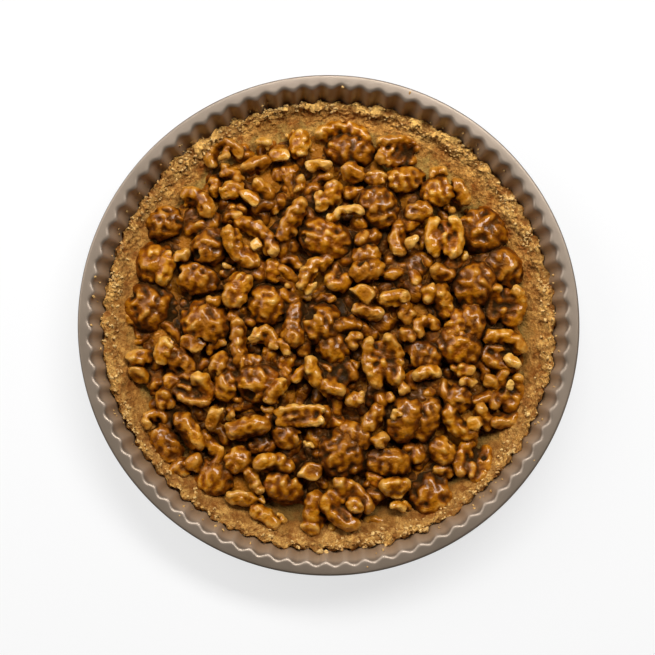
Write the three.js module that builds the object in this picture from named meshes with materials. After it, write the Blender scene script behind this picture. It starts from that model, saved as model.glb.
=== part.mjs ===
// Walnut tart in its tin, in three pieces that lie in each other: a coated metal tart tin with
// a flat rim and a fluted wall, a crumbly shortcrust shell baked into the flutes, and a heap of
// caramelised walnuts on the shell's floor.
// Millimetres, +Z up. The origin is the centre of the tin's base, on the surface it stands on.

import * as THREE from "three";

// Driving dimensions of the tin.
const RIM_RADIUS = 150;
const TIN_HEIGHT = 32;
const SHEET = 1;
const FLUTES = 78;
const FLUTE_DEPTH = 1.4; // half the distance from a flute's ridge to its hollow
const FLUTE_START = THREE.MathUtils.degToRad(1.67); // direction of the first ridge
const WALL_TOP_RADIUS = 142.4; // mean radius of the inner wall under the rim
const WALL_FOOT_RADIUS = 131.6; // mean radius of the inner wall above the bend to the floor
const CORNER = 2.4; // height of the bend between floor and wall
const RIM_BEND = 1.8; // height of the bend between wall and rim
const RIM_CURL = 1.9; // how far the rolled outer edge turns down

// The shortcrust shell.
const TIN_GAP = 1.1; // the baked shell has shrunk this far from the flutes
const CRUST_FLUTING = 0.65; // the shell's flutes are this much shallower than the tin's
const LAY_GAP = 0.3; // between a piece and what it rests on
const FLOOR_THICKNESS = 5.4;
const CRUST_TOP = 19.6; // mean height of the crumbly edge above the base
const CRUST_WAVE = 1.3; // how much that height wanders
const EDGE_WIDTH = 5.2;
const SLOPE_FOOT_RADIUS = 121; // where the flat floor starts to rise

// The heap of walnuts.
const HEAP_RADIUS = 121;
const HEAP_REACH = 125; // no nut juts out further than this
const HEAP_TOP = 27.4;
const HEAP_SIDE = 13; // height of the heap's widest line
const HEAP_UNDERCUT = 6; // how far the foot of the heap stands back under that line
const CARAMEL_LEVEL = 18.5; // between the nuts
const NUTS = 74; // walnuts that show at the top of the heap
const NUT_RADIUS = 14.5;
const NUT_DOME = 8.5;
const HEAP_RINGS = 17;

const TURN = 2 * Math.PI;
const FLOOR_TOP = SHEET + LAY_GAP + FLOOR_THICKNESS;

// A repeatable number from 0 to 1 for each pair of whole numbers.
function scatter(index, salt) {
  const wave = Math.sin(index * 12.9898 + salt * 78.233) * 43758.5453;
  return wave - Math.floor(wave);
}

// One flute as a share of its depth, from -1 at the narrow ridge to 1 in the wide hollow.
function fluteShape(angle) {
  const roundness = 0.25;
  const arch = Math.sin(((angle - FLUTE_START) * FLUTES) / 2);
  const soft = Math.hypot(arch, roundness) - roundness;
  return (2 * soft) / (Math.hypot(1, roundness) - roundness) - 1;
}

// Mean radius of the tin's inner wall at a height.
function wallRadius(height) {
  const share = (height - CORNER - SHEET) / (TIN_HEIGHT - RIM_BEND - CORNER - SHEET);
  return THREE.MathUtils.lerp(WALL_FOOT_RADIUS, WALL_TOP_RADIUS, share);
}

function slow(angle, waves) {
  return waves.reduce((sum, [size, turns, phase]) => sum + size * Math.cos(turns * angle + phase), 0);
}

// Turns vertex triples and triangle indices into a mesh with a named material.
function solid(name, points, faces, material) {
  const geometry = new THREE.BufferGeometry();
  geometry.setAttribute("position", new THREE.Float32BufferAttribute(points.flat(), 3));
  geometry.setIndex(faces.flat());
  geometry.computeVertexNormals();
  const mesh = new THREE.Mesh(geometry, material);
  mesh.name = name;
  return mesh;
}

// A closed body around the Z axis. Each ring gives [radius, height] at an angle; the first
// closes on the axis at height bottom and the last at height top.
function ringBody(rings, segments, bottom, top) {
  const points = [[0, 0, bottom]];
  for (const ring of rings) {
    for (let i = 0; i < segments; i++) {
      const angle = FLUTE_START + (TURN * i) / segments;
      const [radius, height] = ring(angle);
      points.push([radius * Math.cos(angle), radius * Math.sin(angle), height]);
    }
  }
  const last = points.push([0, 0, top]) - 1;
  const at = (ring, i) => 1 + ring * segments + (i % segments);
  const faces = [];
  for (let i = 0; i < segments; i++) {
    faces.push([0, at(0, i + 1), at(0, i)]);
    for (let k = 0; k + 1 < rings.length; k++) {
      faces.push([at(k, i), at(k, i + 1), at(k + 1, i + 1)]);
      faces.push([at(k, i), at(k + 1, i + 1), at(k + 1, i)]);
    }
    faces.push([at(rings.length - 1, i), at(rings.length - 1, i + 1), last]);
  }
  return [points, faces];
}

// The tin: a pressed sheet with a flat base, a flaring fluted wall and a flat rim whose outer
// edge is rolled down.
function tartTin() {
  const segments = FLUTES * 3;
  const level = (radius, height) => () => [radius, height];
  const fluted = (radius, height, share) => (angle) => [
    radius + share * FLUTE_DEPTH * fluteShape(angle),
    height,
  ];
  const underBend = TIN_HEIGHT - SHEET - RIM_BEND;
  const rings = [
    level(WALL_FOOT_RADIUS - CORNER + SHEET, 0),
    fluted(WALL_FOOT_RADIUS + SHEET, CORNER, 1),
    fluted(wallRadius(underBend) + SHEET, underBend, 1),
    level(WALL_TOP_RADIUS + RIM_BEND + SHEET, TIN_HEIGHT - SHEET),
    level(RIM_RADIUS - SHEET, TIN_HEIGHT - RIM_CURL),
    level(RIM_RADIUS, TIN_HEIGHT - RIM_CURL / 2),
    level(RIM_RADIUS - SHEET / 2, TIN_HEIGHT),
    fluted(WALL_TOP_RADIUS + RIM_BEND, TIN_HEIGHT, 0.4),
    fluted(WALL_TOP_RADIUS, TIN_HEIGHT - RIM_BEND, 1),
    fluted(WALL_FOOT_RADIUS, CORNER + SHEET, 1),
    level(WALL_FOOT_RADIUS - CORNER, SHEET),
  ];
  const coating = new THREE.MeshStandardMaterial({ color: 0x8d7b6c, roughness: 0.42, metalness: 0.55 });
  return solid("tart_tin", ...ringBody(rings, segments, 0, SHEET), coating);
}

// Height of the crumbly edge around the shell, with the low places of a hand-pressed crust.
function crustTop(angle) {
  const waves = [[0.35, 2, 0.4], [0.3, 5, 1.9], [0.2, 11, 0.7], [0.15, 23, 2.6]];
  return CRUST_TOP + CRUST_WAVE * slow(angle, waves);
}

// How far the inside of the shell stands in or out of its mean circle.
function crustSway(angle) {
  return slow(angle, [[0.7, 3, 1.1], [0.5, 7, 0.2], [0.35, 13, 2.2]]);
}

// The shell: fluted outside where it was pressed into the tin, with a rough flat edge, a
// steep inner side and a flat floor.
function crust() {
  const bottom = SHEET + LAY_GAP;
  const pressed = (height) => (angle) => [
    wallRadius(height(angle)) - TIN_GAP + CRUST_FLUTING * FLUTE_DEPTH * fluteShape(angle),
    height(angle),
  ];
  const edge = wallRadius(CRUST_TOP) - TIN_GAP;
  const inner = (inset, share) => (angle) => [
    edge - EDGE_WIDTH - inset + crustSway(angle),
    THREE.MathUtils.lerp(FLOOR_TOP, crustTop(angle), share),
  ];
  const rings = [
    () => [WALL_FOOT_RADIUS - CORNER - TIN_GAP - 1, bottom],
    pressed(() => CORNER + SHEET + 0.6),
    pressed((angle) => crustTop(angle) - 1.2),
    (angle) => [edge - EDGE_WIDTH / 3, crustTop(angle)],
    inner(0, 0.93),
    inner(2.4, 0.42),
    inner(5, 0.12),
    () => [SLOPE_FOOT_RADIUS, FLOOR_TOP],
  ];
  const baked = new THREE.MeshStandardMaterial({ color: 0xb5823f, roughness: 0.9, metalness: 0 });
  return solid("crust", ...ringBody(rings, FLUTES * 2, bottom, FLOOR_TOP), baked);
}

// Outline of the heap seen from above: it wanders, and single nuts jut out of it.
function heapOutline(angle) {
  const lobes = 13;
  const wander = slow(angle, [[2.2, 1, 0.9], [1.6, 2, 2.4], [1.5, 5, 0.6], [1.1, 8, 1.7]]);
  const jut = 3.2 * Math.abs(Math.sin(lobes * angle + 0.8 * Math.sin(3 * angle)));
  return Math.min(HEAP_RADIUS - 4 + wander + jut, HEAP_REACH);
}

// The walnuts at the top of the heap, spread like the seeds of a sunflower with some scatter.
function topNuts() {
  const goldenAngle = Math.PI * (3 - Math.sqrt(5));
  return Array.from({ length: NUTS }, (_, i) => {
    const radius = (HEAP_RADIUS - NUT_RADIUS / 2) * Math.sqrt((i + 0.5) / NUTS);
    const angle = i * goldenAngle + 0.25 * (scatter(i, 1) - 0.5);
    return {
      x: radius * Math.cos(angle) + 5 * (scatter(i, 2) - 0.5),
      y: radius * Math.sin(angle) + 5 * (scatter(i, 3) - 0.5),
      foot: HEAP_TOP - NUT_DOME - 5 * scatter(i, 4),
      reach: NUT_RADIUS * (0.85 + 0.3 * scatter(i, 5)),
    };
  });
}

// Height of the heap's top at a place: the highest nut there, or the caramel between them.
function heapHeight(x, y, nuts) {
  const overNut = (nut) => {
    const away = Math.hypot(x - nut.x, y - nut.y) / nut.reach;
    return away < 1 ? nut.foot + NUT_DOME * Math.sqrt(1 - away * away) : CARAMEL_LEVEL;
  };
  return Math.max(CARAMEL_LEVEL, ...nuts.map(overNut));
}

// The heap: a lumpy top of even small triangles, an overhanging side of nuts, and an
// underside that lies on the shell's floor.
function walnutHeap() {
  const nuts = topNuts();
  const underside = FLOOR_TOP + LAY_GAP;
  const points = [[0, 0, heapHeight(0, 0, nuts)]];
  const faces = [];
  const first = (ring) => (ring === 0 ? 0 : 1 + 3 * ring * (ring - 1));
  const count = (ring) => Math.max(1, 6 * ring);
  const at = (ring, i) => first(ring) + (i % count(ring));
  for (let ring = 1; ring <= HEAP_RINGS; ring++) {
    for (let i = 0; i < count(ring); i++) {
      const angle = (TURN * i) / count(ring);
      const radius = (heapOutline(angle) * ring) / HEAP_RINGS;
      const [x, y] = [radius * Math.cos(angle), radius * Math.sin(angle)];
      points.push([x, y, ring === HEAP_RINGS ? HEAP_SIDE : heapHeight(x, y, nuts)]);
    }
    for (let side = 0; side < 6; side++) {
      for (let step = 0; step < ring; step++) {
        const outer = side * ring + step;
        const inner = side * (ring - 1) + step;
        faces.push([at(ring, outer), at(ring, outer + 1), at(ring - 1, inner)]);
        if (step + 1 < ring) faces.push([at(ring, outer + 1), at(ring - 1, inner + 1), at(ring - 1, inner)]);
      }
    }
  }
  const around = count(HEAP_RINGS);
  const foot = points.length;
  for (let i = 0; i < around; i++) {
    const angle = (TURN * i) / around;
    const radius = Math.min(heapOutline(angle) - HEAP_UNDERCUT, SLOPE_FOOT_RADIUS - 1);
    points.push([radius * Math.cos(angle), radius * Math.sin(angle), underside]);
  }
  const middle = points.push([0, 0, underside]) - 1;
  for (let i = 0; i < around; i++) {
    const next = (i + 1) % around;
    faces.push([at(HEAP_RINGS, i), foot + i, foot + next]);
    faces.push([at(HEAP_RINGS, i), foot + next, at(HEAP_RINGS, next)]);
    faces.push([foot + i, middle, foot + next]);
  }
  const caramelised = new THREE.MeshStandardMaterial({ color: 0x8f5318, roughness: 0.25, metalness: 0 });
  return solid("walnut_heap", points, faces, caramelised);
}

const walnutTart = new THREE.Group();
walnutTart.add(tartTin(), crust(), walnutHeap());

export default walnutTart;
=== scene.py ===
import math

import bmesh
import bpy
import numpy as np
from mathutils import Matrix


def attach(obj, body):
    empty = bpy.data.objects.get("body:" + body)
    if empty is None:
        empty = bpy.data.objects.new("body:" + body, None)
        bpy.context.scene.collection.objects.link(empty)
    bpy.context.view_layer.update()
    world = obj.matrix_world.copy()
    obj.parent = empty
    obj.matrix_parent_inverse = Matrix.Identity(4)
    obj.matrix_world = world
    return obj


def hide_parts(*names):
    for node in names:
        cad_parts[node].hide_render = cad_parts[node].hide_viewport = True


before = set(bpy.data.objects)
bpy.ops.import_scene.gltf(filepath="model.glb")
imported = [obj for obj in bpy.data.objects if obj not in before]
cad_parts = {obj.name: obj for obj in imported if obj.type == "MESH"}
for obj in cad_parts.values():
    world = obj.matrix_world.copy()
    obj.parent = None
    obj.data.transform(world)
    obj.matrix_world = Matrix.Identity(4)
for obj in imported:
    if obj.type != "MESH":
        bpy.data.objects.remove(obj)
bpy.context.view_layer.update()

import openvdb
from mathutils import Matrix, Vector, noise

# ------------------------------------------------------------------------------ the tart tin
# One sheet of pressed steel under a satin taupe non-stick coating. The wall is pressed into
# narrow ridges and wide flutes, and the flat rim is rolled down at its outer edge.

MM = 0.001
TURN = 2 * math.pi
FLUTES = 78
FLUTE_DEPTH = 1.15
FLUTE_START = math.radians(1.67)  # direction of the first ridge
WALL_TOP = (141.9, 30.2)  # radius and height where the inner wall bends into the rim
WALL_FOOT = (131.6, 3.4)
STEPS_PER_FLUTE = 10


def flute_shape(angle):
    """-1 on the narrow ridge that points inwards, 1 in the middle of the wide flute."""
    roundness = 1.2
    soft = np.hypot(np.sin((angle - FLUTE_START) * FLUTES / 2), roundness) - roundness
    return 2 * soft / (math.hypot(1, roundness) - roundness) - 1


def straight(start, end, steps):
    """Points from start up to just before end."""
    start, end = np.array(start, float), np.array(end, float)
    return [start + (end - start) * i / steps for i in range(steps)]


def bend(start, corner, end, steps):
    """A curve from start to just before end that rounds off the corner between them."""
    start, corner, end = (np.array(p, float) for p in (start, corner, end))
    shares = [i / steps for i in range(steps)]
    return [start * (1 - t) ** 2 + corner * 2 * t * (1 - t) + end * t * t for t in shares]


def mesh_object(name, points, faces, material, body="root"):
    """A smooth-shaded piece from points in millimetres and faces of one or more lengths."""
    mesh = bpy.data.meshes.new(name)
    sizes = np.concatenate([np.full(len(f), f.shape[1]) for f in faces])
    corners = np.concatenate([f.ravel() for f in faces])
    mesh.vertices.add(len(points))
    mesh.vertices.foreach_set("co", (np.asarray(points) * MM).astype(np.float32).ravel())
    mesh.loops.add(len(corners))
    mesh.loops.foreach_set("vertex_index", corners.astype(np.int32))
    mesh.polygons.add(len(sizes))
    mesh.polygons.foreach_set("loop_start", (np.cumsum(sizes) - sizes).astype(np.int32))
    mesh.update(calc_edges=True)
    mesh.validate()
    mesh.shade_smooth()
    mesh.materials.append(material)
    piece = bpy.data.objects.new(name, mesh)
    bpy.context.scene.collection.objects.link(piece)
    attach(piece, body)
    return piece


def turned(rings, angles):
    """Points and faces of a closed body around Z. Each ring gives radius and height for all
    the angles; the first and the last ring close on the axis."""
    count = len(angles)
    across, up = np.cos(angles), np.sin(angles)
    points = [np.column_stack([r * across, r * up, z + 0 * r]) for r, z in rings]
    ends = [(0, 0, rings[0][1].mean()), (0, 0, rings[-1][1].mean())]
    points = np.concatenate([np.array([ends[0]]), *points, np.array([ends[1]])])
    here = np.arange(count)
    after = (here + 1) % count
    start = 1 + np.arange(len(rings) - 1)[:, None] * count
    low, high = start, start + count
    quads = np.stack([low + here, low + after, high + after, high + here], axis=-1)
    top = 1 + (len(rings) - 1) * count
    bottom_fan = np.column_stack([np.zeros(count, int), 1 + after, 1 + here])
    top_fan = np.column_stack([top + here, top + after, np.full(count, len(points) - 1)])
    return points, [quads.reshape(-1, 4), bottom_fan, top_fan]


def srgb(red, green, blue):
    """A colour as it looks, 0 to 255, as the linear colour that a shader takes."""
    linear = [c / 3294.6 if c <= 10 else ((c / 255 + 0.055) / 1.055) ** 2.4 for c in (red, green, blue)]
    return (*linear, 1.0)


class Shader:
    """A material's node tree, or a node group's, and short ways to fill it."""

    def __init__(self, tree):
        self.tree = tree

    def add(self, kind, links=None, **settings):
        node = self.tree.nodes.new(kind)
        for name, value in settings.items():
            setattr(node, name, value)
        for socket, value in (links or {}).items():
            self.feed(node.inputs[socket], value)
        return node

    def feed(self, socket, value):
        if isinstance(value, bpy.types.NodeSocket):
            self.tree.links.new(value, socket)
        else:
            socket.default_value = value

    def math(self, operation, first, second=0.0):
        return self.add("ShaderNodeMath", {0: first, 1: second}, operation=operation).outputs[0]

    def span(self, value, low, high, to_low=0.0, to_high=1.0):
        links = {"Value": value, "From Min": low, "From Max": high, "To Min": to_low, "To Max": to_high}
        return self.add("ShaderNodeMapRange", links).outputs["Result"]

    def mix(self, share, first, second):
        node = self.add("ShaderNodeMix", data_type="RGBA")
        sockets = {s.identifier: s for s in node.inputs}
        for name, value in zip(("Factor_Float", "A_Color", "B_Color"), (share, first, second)):
            self.feed(sockets[name], value)
        return next(s for s in node.outputs if s.identifier == "Result_Color")

    def ramp(self, value, stops):
        node = self.add("ShaderNodeValToRGB", {"Fac": value})
        elements = node.color_ramp.elements
        while len(elements) < len(stops):
            elements.new(0.5)
        for element, (position, colour) in zip(elements, stops):
            element.position = position
            element.color = colour
        return node.outputs["Color"]

    def noise(self, where, scale, detail=3.0, roughness=0.55):
        links = {"Vector": where, "Scale": scale, "Detail": detail, "Roughness": roughness}
        return self.add("ShaderNodeTexNoise", links).outputs["Fac"]

    def bump(self, height, distance, strength=1.0):
        links = {"Height": height, "Distance": distance, "Strength": strength}
        return self.add("ShaderNodeBump", links).outputs["Normal"]

    def place(self):
        return self.add("ShaderNodeTexCoord").outputs["Object"]

    def attribute(self, name):
        return self.add("ShaderNodeAttribute", attribute_name=name).outputs["Fac"]


def new_material(name, **constants):
    """A material with one Principled BSDF, and its shader helper."""
    material = bpy.data.materials.new(name)
    material.use_nodes = True
    surface = material.node_tree.nodes["Principled BSDF"]
    for socket, value in constants.items():
        surface.inputs[socket.replace("_", " ")].default_value = value
    return material, Shader(material.node_tree), surface.inputs


angles = np.arange(FLUTES * STEPS_PER_FLUTE) * TURN / (FLUTES * STEPS_PER_FLUTE)
inner_top, inner_foot = (*WALL_TOP, 1), (*WALL_FOOT, 1)
tin_profile = [
    *straight((60, 0, 0), (128.6, 0, 0), 2),
    *bend((128.6, 0, 0), (131.6, 0, 0.6), (132.9, 3.2, 1), 5),
    *straight((132.9, 3.2, 1), (142.2, 28.6, 1), 4),
    *bend((142.2, 28.6, 1), (143.2, 31, 0.8), (145.0, 31, 0), 4),
    *straight((145.0, 31, 0), (148.4, 31, 0), 1),
    *bend((148.4, 31, 0), (149, 31, 0), (149, 30.2, 0), 3),
    *bend((149, 30.2, 0), (149.5, 29.8, 0), (150, 30.3, 0), 4),
    *bend((150, 30.3, 0), (150, 32, 0), (148.5, 32, 0), 7),
    *straight((148.5, 32, 0), (144.9, 32, 0.85), 2),
    *bend((144.9, 32, 0.85), (142.6, 32, 1), inner_top, 9),
    *straight(inner_top, inner_foot, 6),
    *bend(inner_foot, (130.8, 1, 0.5), (127.6, 1, 0), 6),
    *straight((127.6, 1, 0), (60, 1, 0), 2),
    np.array((60, 1, 0)),
]
tin_rings = [(r + share * FLUTE_DEPTH * flute_shape(angles), z + 0 * angles) for r, z, share in tin_profile]

coating, shader, surface = new_material("tin_coating", Coat_Weight=0.3, Coat_Roughness=0.38)
place = shader.place()
clouds = shader.noise(place, 26.0, 4.0)
grain = shader.noise(place, 1500.0, 2.0)
# painted shade and light: one coating, but the rim is given a darker colour and the wall a lighter one,
# making up for the flat rim catching more light than the steep wall
wall = shader.mix(shader.span(clouds, 0.35, 0.7), srgb(151, 130, 110), srgb(161, 140, 119))
rim = shader.mix(shader.span(clouds, 0.35, 0.7), srgb(133, 118, 102), srgb(142, 126, 110))
from_axis = shader.add("ShaderNodeVectorMath", {0: place}, operation="LENGTH").outputs["Value"]
on_rim = shader.span(from_axis, 0.1440, 0.1462)
height = shader.add("ShaderNodeSeparateXYZ", {0: place}).outputs["Z"]
# painted reflection: the wall turns browner towards its foot, standing in for the warm light the crust
# throws onto it
wall = shader.mix(shader.span(height, 0.029, 0.019, 0.0, 0.6), wall, srgb(140, 106, 68))
shader.feed(surface["Base Color"], shader.mix(on_rim, wall, rim))
shader.feed(surface["Metallic"], shader.span(on_rim, 0.0, 1.0, 0.25, 0.56))
shader.feed(surface["Roughness"], shader.span(clouds, 0.3, 0.7, 0.39, 0.46))
shader.feed(surface["Normal"], shader.bump(grain, 0.00004, 0.5))
tin = mesh_object("fluted_tin", *turned(tin_rings, angles), coating)
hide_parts("tart_tin")

# -------------------------------------------------------------------------------- the crust
# Shortcrust dough pressed by hand into the flutes and baked. It has shrunk a little from the
# tin, its edge has crumbled unevenly, and its inner side runs down in a hollow to the floor.

FLOOR_TOP = 6.7
CRUST_TOP = 19.6
TIN_GAP = 1.5
EDGE_WIDTH = 5.2
CRUST_STEPS = 14  # steps for each flute
OUTSIDE_RINGS = 7


def tin_wall(height):
    share = (height - WALL_FOOT[1]) / (WALL_TOP[1] - WALL_FOOT[1])
    return WALL_FOOT[0] + (WALL_TOP[0] - WALL_FOOT[0]) * share


def wander(angles, waves):
    return sum(size * np.cos(turns * angles + phase) for size, turns, phase in waves)


def crumbly(points, scale, seed):
    """0 in the clefts between crumbs, up to 1 on the crumbs, for points in millimetres."""
    shift = Vector((seed, -2.3 * seed, 1.7 * seed))
    near = [noise.voronoi(Vector(p) / scale + shift)[0] for p in points.tolist()]
    return np.clip(np.array([d[1] - d[0] for d in near]) * 1.6, 0, 1)


def rough(points, scale, seed):
    shift = Vector((seed, 3.1 * seed, -1.3 * seed))
    return np.array([noise.noise(Vector(p) / scale + shift) for p in points.tolist()])


crust_angles = np.arange(FLUTES * CRUST_STEPS) * TURN / (FLUTES * CRUST_STEPS)
pressed = flute_shape(crust_angles) * FLUTE_DEPTH * 0.6
top_height = CRUST_TOP + wander(crust_angles, [(0.5, 2, 0.4), (0.5, 5, 1.9), (0.4, 11, 0.7), (0.3, 23, 2.6)])
sway = wander(crust_angles, [(0.7, 3, 1.1), (0.8, 7, 0.2), (0.7, 13, 2.2), (0.5, 29, 0.5), (0.4, 47, 1.4)])
gap = TIN_GAP + wander(crust_angles, [(-0.4, 1, -0.8), (0.3, 6, 2.0), (0.4, 17, 0.6), (0.3, 41, 1.0)])
outer_edge = tin_wall(top_height) - gap
inner_edge = tin_wall(CRUST_TOP) - TIN_GAP - EDGE_WIDTH + sway

crust_rings = [(60 + 0 * sway, 1.3 + 0 * sway), (127.2 + 0 * sway, 1.3 + 0 * sway)]
for share in np.linspace(0, 1, 7)[:-1]:
    height = 4.0 + share * (top_height - 4.2)
    crust_rings.append((tin_wall(height) - 0.35 + share**6 * (0.35 - gap) + pressed / 0.6, height))
for share in np.linspace(0, 1, 18):
    crown = 1.2 * np.sqrt(np.maximum(0, 1 - (2 * share - 1) ** 2)) - 1.2
    radius = outer_edge + pressed * (1 - share) ** 2 + share * (inner_edge - outer_edge)
    crust_rings.append((radius, top_height + crown))
slope = bend((0, 1), (3.4, 0.5), (10, 0.26), 24)[1:] + bend((10, 0.26), (15, 0.06), (22, 0), 12)
banked = 0.13 - 0.13 * np.exp(-(((crust_angles - 1.6) / 0.45) ** 2))  # steepest at +Y
for inset, share in slope:
    share = share + banked * math.sin(math.pi * min(1, inset / 12))
    crust_rings.append((inner_edge - inset, FLOOR_TOP + share * (top_height - 1.2 - FLOOR_TOP)))
for radius in (107.0, 104.0, 100.0, 90.0, 78.0, 62.0, 40.0, 20.0):
    crust_rings.append((radius + 0 * sway, FLOOR_TOP + 0 * sway))

crust_points, crust_faces = turned(crust_rings, crust_angles)
radii = np.hypot(crust_points[:, 0], crust_points[:, 1])
outward = crust_points[:, :2] / np.maximum(radii, 1e-6)[:, None]
height_share = np.clip((crust_points[:, 2] - FLOOR_TOP) / (CRUST_TOP - FLOOR_TOP), 0, 1)
inside = (np.arange(len(crust_points)) > len(crust_angles) * OUTSIDE_RINGS).astype(float)
high_up = np.clip((height_share - 0.3) / 0.5, 0, 1)
crumbled = inside * (0.2 + 0.8 * high_up) * np.clip((radii - 100) / 15, 0.1, 1)
crumbs = 0.6 * crumbly(crust_points, 3.4, 1) + 0.5 * crumbly(crust_points, 1.6, 5)
swell = rough(crust_points, 6.5, 2)
fine = rough(crust_points, 1.2, 4)
crust_points[:, 2] += crumbled * (1.5 * (crumbs - 0.65) + 1.9 * swell + 0.7 * fine)
sideways = crumbled * (1.8 * rough(crust_points, 3.4, 9) + 1.1 * rough(crust_points, 1.4, 11) + 1.3 * swell)
least = np.where(radii > 134, -0.9, -1.6)
crust_points[:, :2] += outward * np.clip(sideways, least, 0.9)[:, None]

crumb_look = bpy.data.node_groups.new("baked_dough", "ShaderNodeTree")
for name, kind, way in (
    ("Place", "NodeSocketVector", "INPUT"),
    ("Deep", "NodeSocketColor", "INPUT"),
    ("Pale", "NodeSocketColor", "INPUT"),
    ("Browned", "NodeSocketColor", "INPUT"),
    ("Browning", "NodeSocketFloat", "INPUT"),
    ("Color", "NodeSocketColor", "OUTPUT"),
    ("Relief", "NodeSocketFloat", "OUTPUT"),
):
    crumb_look.interface.new_socket(name, in_out=way, socket_type=kind)
dough = Shader(crumb_look)
given = dough.add("NodeGroupInput").outputs
result = dough.add("NodeGroupOutput").inputs
cells = dough.add("ShaderNodeTexVoronoi", {"Vector": given["Place"], "Scale": 620.0}).outputs
coarse = dough.noise(given["Place"], 330.0, 4.0, 0.6)
speckle = dough.noise(given["Place"], 1500.0, 2.0, 0.6)
patches = dough.noise(given["Place"], 120.0, 4.0, 0.65)
mixed = dough.math("ADD", dough.math("MULTIPLY", coarse, 0.55), dough.math("MULTIPLY", speckle, 0.45))
base = dough.mix(dough.span(mixed, 0.36, 0.62), given["Deep"], given["Pale"])
brown = dough.math("MULTIPLY", dough.span(patches, 0.5, 0.66), given["Browning"])
# painted shade: small dark specks stand in for the shade inside the dough's pores
painted_pore_shade = dough.span(dough.noise(given["Place"], 800.0, 2.0, 0.5), 0.42, 0.3, 0.0, 0.6)
dough.feed(result["Color"], dough.mix(painted_pore_shade, dough.mix(brown, base, given["Browned"]), srgb(90, 48, 12)))
hollows = dough.math("MULTIPLY", cells["Distance"], -0.5)
relief = dough.math("ADD", hollows, dough.math("MULTIPLY", mixed, 1.2))
dough.feed(result["Relief"], relief)


def dough_node(shader, place, deep, pale, browned, browning):
    node = shader.add("ShaderNodeGroup", node_tree=crumb_look)
    values = {"Place": place, "Deep": deep, "Pale": pale, "Browned": browned, "Browning": browning}
    for socket, value in values.items():
        shader.feed(node.inputs[socket], value)
    return node.outputs


baked, shader, surface = new_material(
    "shortcrust", Roughness=0.85, Specular_IOR_Level=0.25, Specular_Tint=(1.0, 0.8, 0.5, 1.0)
)
place = shader.place()
parts = shader.add("ShaderNodeSeparateXYZ", {0: place}).outputs
uneven = shader.math("MULTIPLY", shader.math("SUBTRACT", shader.noise(place, 110.0, 3.0), 0.5), 0.016)
level = shader.math("ADD", parts["Z"], uneven)
edge_share = shader.span(level, 0.0125, 0.0180)
edge = dough_node(shader, place, srgb(146, 88, 28), srgb(246, 194, 108), srgb(144, 80, 26), 0.8)
side = dough_node(shader, place, srgb(152, 94, 32), srgb(240, 176, 88), srgb(142, 76, 20), 0.9)
floor = dough_node(shader, place, srgb(134, 104, 44), srgb(194, 156, 82), srgb(122, 80, 28), 0.6)
# painted shade: edge, side and floor colours darken towards -Y, standing in for the shade the walnuts cast
# on the crust on that side
painted_shade_minus_y = shader.span(parts["Y"], 0.115, -0.115)
edge_tone = shader.mix(shader.math("MULTIPLY", painted_shade_minus_y, 0.36), edge["Color"], srgb(104, 64, 22))
raised = shader.span(shader.attribute("crumbs"), 0.1, 0.7)
# painted light: raised crumbs towards +Y are made paler, lifting the far edge out of the tin wall's shade
painted_light_far_side = shader.math("MULTIPLY", raised, shader.span(parts["Y"], 0.085, 0.125, 0.0, 0.9))
edge_tone = shader.mix(painted_light_far_side, edge_tone, srgb(255, 202, 112))
side_tone = shader.mix(shader.math("MULTIPLY", painted_shade_minus_y, 0.72), side["Color"], srgb(90, 52, 12))
floor_tone = shader.mix(shader.math("MULTIPLY", painted_shade_minus_y, 0.8), floor["Color"], srgb(68, 42, 9))
low = shader.mix(shader.span(level, 0.0074, 0.0115), floor_tone, side_tone)
dry = shader.mix(edge_share, low, edge_tone)
# painted shade: the clefts between the crumbs and the low parts of the edge are darkened
painted_cleft_shade = shader.span(raised, 0.0, 0.9, 0.55, 0.0)
shader.feed(surface["Base Color"], shader.mix(painted_cleft_shade, dry, srgb(100, 50, 12)))
shader.feed(surface["Normal"], shader.bump(edge["Relief"], 0.0014, 0.6))
crust = mesh_object("crust_shell", crust_points, crust_faces, baked)
layer = crust.data.attributes.new("crumbs", "FLOAT", "POINT")
clumps = (crumbs + 0.7 * swell) * crumbled + 0.6 * (1 - crumbled)
layer.data.foreach_set("value", clumps.astype(np.float32))
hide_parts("crust")

# ------------------------------------------------------------------------------ the walnuts
# Halves, quarters and broken bits of shelled walnuts, tossed in hot caramel and heaped on the
# crust. Each one is shaped as a distance field: rolls with creases between them.

GRID = 0.62  # distance between the field's samples, in millimetres
FAR = 3.0  # distances past this are all taken as this
SUNK = 0.8  # how far a walnut reaches into the crust's floor
WALL_MARGIN = 1.5  # how far the walnuts in the crust stay from the tin's wall
RELIEF_STRENGTH = 0.62


def smooth_union(fields, softness):
    low = np.min(fields, axis=0)
    return low - softness * np.log(sum(np.exp((low - field) / softness) for field in fields))


def smooth_cut(field, cutter, softness):
    """The field without what lies inside the cutter."""
    return -smooth_union([-field, cutter], softness)


def waves(spot, rng, length, count=20, stretch=(1, 1, 1)):
    """A random field of waves of about one length, around 0 and about 1 strong."""
    ways = rng.normal(size=(count, 3)) * stretch
    ways *= (TURN / length * rng.uniform(0.85, 1.15, count) / np.linalg.norm(ways, axis=1))[:, None]
    phases = rng.uniform(0, TURN, count)
    total = 0
    for way, phase in zip(ways.astype(np.float32), phases.astype(np.float32)):
        total = total + np.cos(spot[0] * way[0] + spot[1] * way[1] + spot[2] * way[2] + phase)
    return total / math.sqrt(count / 2)


def creases(field, sharpness=0.42):
    """1 in the creases where the wave field changes sign, 0 on the rolls between them."""
    return np.exp(-np.abs(field) / sharpness)


def warped(spot, rng, size, length):
    return [s + size * waves(spot, rng, length, 7) for s in spot]


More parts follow.
